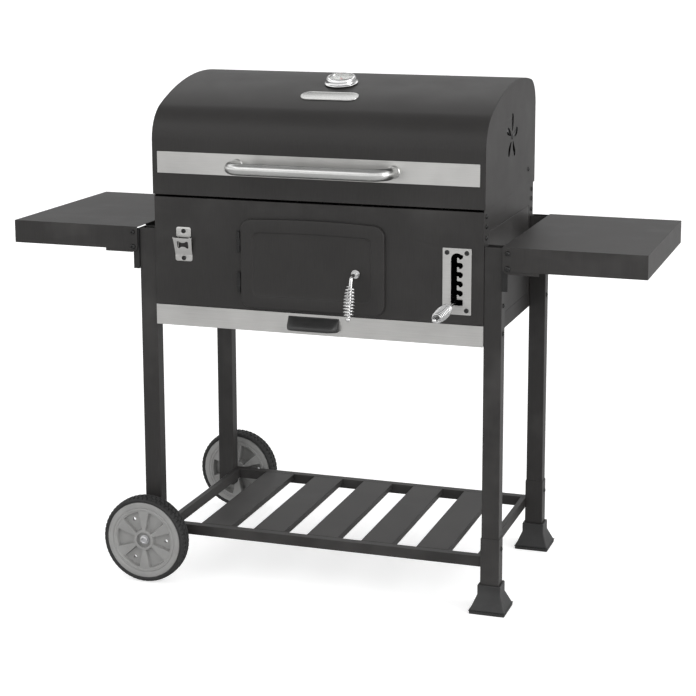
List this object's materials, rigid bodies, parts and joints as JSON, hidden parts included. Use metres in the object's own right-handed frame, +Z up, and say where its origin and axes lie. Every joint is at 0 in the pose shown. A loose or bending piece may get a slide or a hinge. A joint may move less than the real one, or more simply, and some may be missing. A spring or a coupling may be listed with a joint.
{
  "type": "charcoal grill trolley",
  "caption": "Charcoal grill trolley with an arched lid, charcoal door, height-adjustable coal pan, ash drawer, folding side shelves and two wheels.",
  "frame": {"origin": "on the floor, in the middle of the bounding box", "axes": "+X to the right shelf, -Y the front, +Z up"},
  "size_m": [1.458, 0.645, 1.1532],
  "materials": {
    "painted_steel": "satin charcoal-grey heat-proof paint",
    "dark_steel": "dark satin paint",
    "brushed_steel": "brushed along X",
    "chrome": "polished",
    "zinc": "zinc plated",
    "dial_white": "matt white",
    "needle_red": "gloss red",
    "gauge_glass": "clear",
    "enamel": "black enamel",
    "tyre_rubber": "matt",
    "grey_plastic": "moulded",
    "black_plastic": "moulded"
  },
  "bodies": {
    "cart": {"front_left_leg": "painted_steel", "rear_left_leg": "painted_steel", "front_right_leg": "painted_steel", "rear_right_leg": "painted_steel", "leg_sleeves": "painted_steel", "leg_feet": "black_plastic", "frame_rails": "painted_steel", "shelf_slats": "painted_steel", "axle": "zinc", "front_panel": "painted_steel", "rear_panel": "painted_steel", "left_side_panel": "painted_steel", "right_side_panel": "painted_steel", "inner_rails": "dark_steel", "panel_bolts": "zinc", "shelf_brackets": "dark_steel", "shelf_pivot_bolts": "zinc", "lid_hinge_pins": "dark_steel", "door_hinge_pins": "dark_steel", "bottle_opener": "brushed_steel", "front_screws": "zinc", "adjuster_plate": "brushed_steel", "cooking_grates": "enamel"},
    "front_wheel": {"front_tyre": "tyre_rubber", "front_hub": "grey_plastic"},
    "rear_wheel": {"rear_tyre": "tyre_rubber", "rear_hub": "grey_plastic"},
    "left_shelf": {"left_shelf": "painted_steel", "left_lock_bolts": "zinc"},
    "right_shelf": {"right_shelf": "painted_steel", "right_lock_bolts": "zinc"},
    "lid": {"lid_shell": "painted_steel", "lid_left_end": "painted_steel", "lid_right_end": "painted_steel", "lid_band": "brushed_steel", "lid_handle": "chrome", "lid_fasteners": "zinc", "thermometer_case": "chrome", "thermometer_dial": "dial_white", "thermometer_glass": "gauge_glass", "name_plate": "chrome", "lid_hinge_leaves": "dark_steel"},
    "gauge_needle": {"thermometer_needle": "needle_red"},
    "left_vent": {"left_vent_disc": "dark_steel"},
    "right_vent": {"right_vent_disc": "dark_steel"},
    "warming_rack": {"warming_rack": "chrome"},
    "rack_links": {"rack_links": "chrome"},
    "charcoal_door": {"charcoal_door": "painted_steel", "door_hinge_leaves": "dark_steel"},
    "door_latch": {"latch_handle": "chrome", "latch_grip": "chrome"},
    "pan_lift": {"pan_lift_frame": "dark_steel", "charcoal_pan": "enamel", "charcoal_grate": "enamel"},
    "height_lever": {"height_lever": "chrome", "lever_grip": "chrome"},
    "ash_drawer": {"ash_tray": "enamel", "drawer_front": "brushed_steel", "drawer_pull": "black_plastic"}
  },
  "joints": [
    {"name": "lid_hinge", "type": "hinge", "parent": "cart", "child": "lid", "pos_m": [0, 0.2565, 0.886], "axis": [-1, 0, 0], "range_deg": [0, 90]},
    {"name": "rack_swing", "type": "hinge", "parent": "lid", "child": "warming_rack", "pos_m": [0, 0.1845, 0.926], "axis": [-1, 0, 0], "range_deg": [-90, 0]},
    {"name": "rack_link_swing", "type": "hinge", "parent": "warming_rack", "child": "rack_links", "pos_m": [0, 0.0345, 0.926], "axis": [-1, 0, 0], "range_deg": [0, 90]},
    {"name": "needle_turn", "type": "hinge", "parent": "lid", "child": "gauge_needle", "pos_m": [0, -0.0245, 1.13086], "axis": [0, 0.1987, -0.9801], "range_deg": [0, 270]},
    {"name": "left_vent_turn", "type": "hinge", "parent": "lid", "child": "left_vent", "pos_m": [-0.38, 0.0235, 1.019], "axis": [-1, 0, 0], "range_deg": [0, 36]},
    {"name": "right_vent_turn", "type": "hinge", "parent": "lid", "child": "right_vent", "pos_m": [0.38, 0.0235, 1.019], "axis": [1, 0, 0], "range_deg": [0, 36]},
    {"name": "door_hinge", "type": "hinge", "parent": "cart", "child": "charcoal_door", "pos_m": [-0.177, -0.2125, 0.745], "axis": [0, 0, -1], "range_deg": [0, 110]},
    {"name": "latch_turn", "type": "hinge", "parent": "charcoal_door", "child": "door_latch", "pos_m": [0.0963, -0.2145, 0.7367], "axis": [0, 1, 0], "range_deg": [0, 90]},
    {"name": "pan_lift_slide", "type": "slide", "parent": "cart", "child": "pan_lift", "axis": [0, 0, 1], "range_m": [0, 0.1]},
    {"name": "lever_swing", "type": "hinge", "parent": "pan_lift", "child": "height_lever", "pos_m": [0.323, -0.1465, 0.6952], "axis": [0, 0, 1], "range_deg": [0, 11]},
    {"name": "drawer_slide", "type": "slide", "parent": "cart", "child": "ash_drawer", "axis": [0, -1, 0], "range_m": [0, 0.34]},
    {"name": "left_shelf_fold", "type": "hinge", "parent": "cart", "child": "left_shelf", "pos_m": [-0.4325, -0.2065, 0.7678], "axis": [0, -1, 0], "range_deg": [0, 90]},
    {"name": "right_shelf_fold", "type": "hinge", "parent": "cart", "child": "right_shelf", "pos_m": [0.4325, -0.2065, 0.7678], "axis": [0, 1, 0], "range_deg": [0, 90]},
    {"name": "front_wheel_spin", "type": "hinge", "parent": "cart", "child": "front_wheel", "pos_m": [-0.396, -0.2535, 0.1], "axis": [0, 1, 0], "continuous": true},
    {"name": "rear_wheel_spin", "type": "hinge", "parent": "cart", "child": "rear_wheel", "pos_m": [-0.396, 0.3025, 0.1], "axis": [0, 1, 0], "continuous": true}
  ],
  "couplings": [
    {"joint": "rack_swing", "follows": "lid_hinge", "ratio": -1},
    {"joint": "rack_link_swing", "follows": "lid_hinge", "ratio": 1}
  ]
}
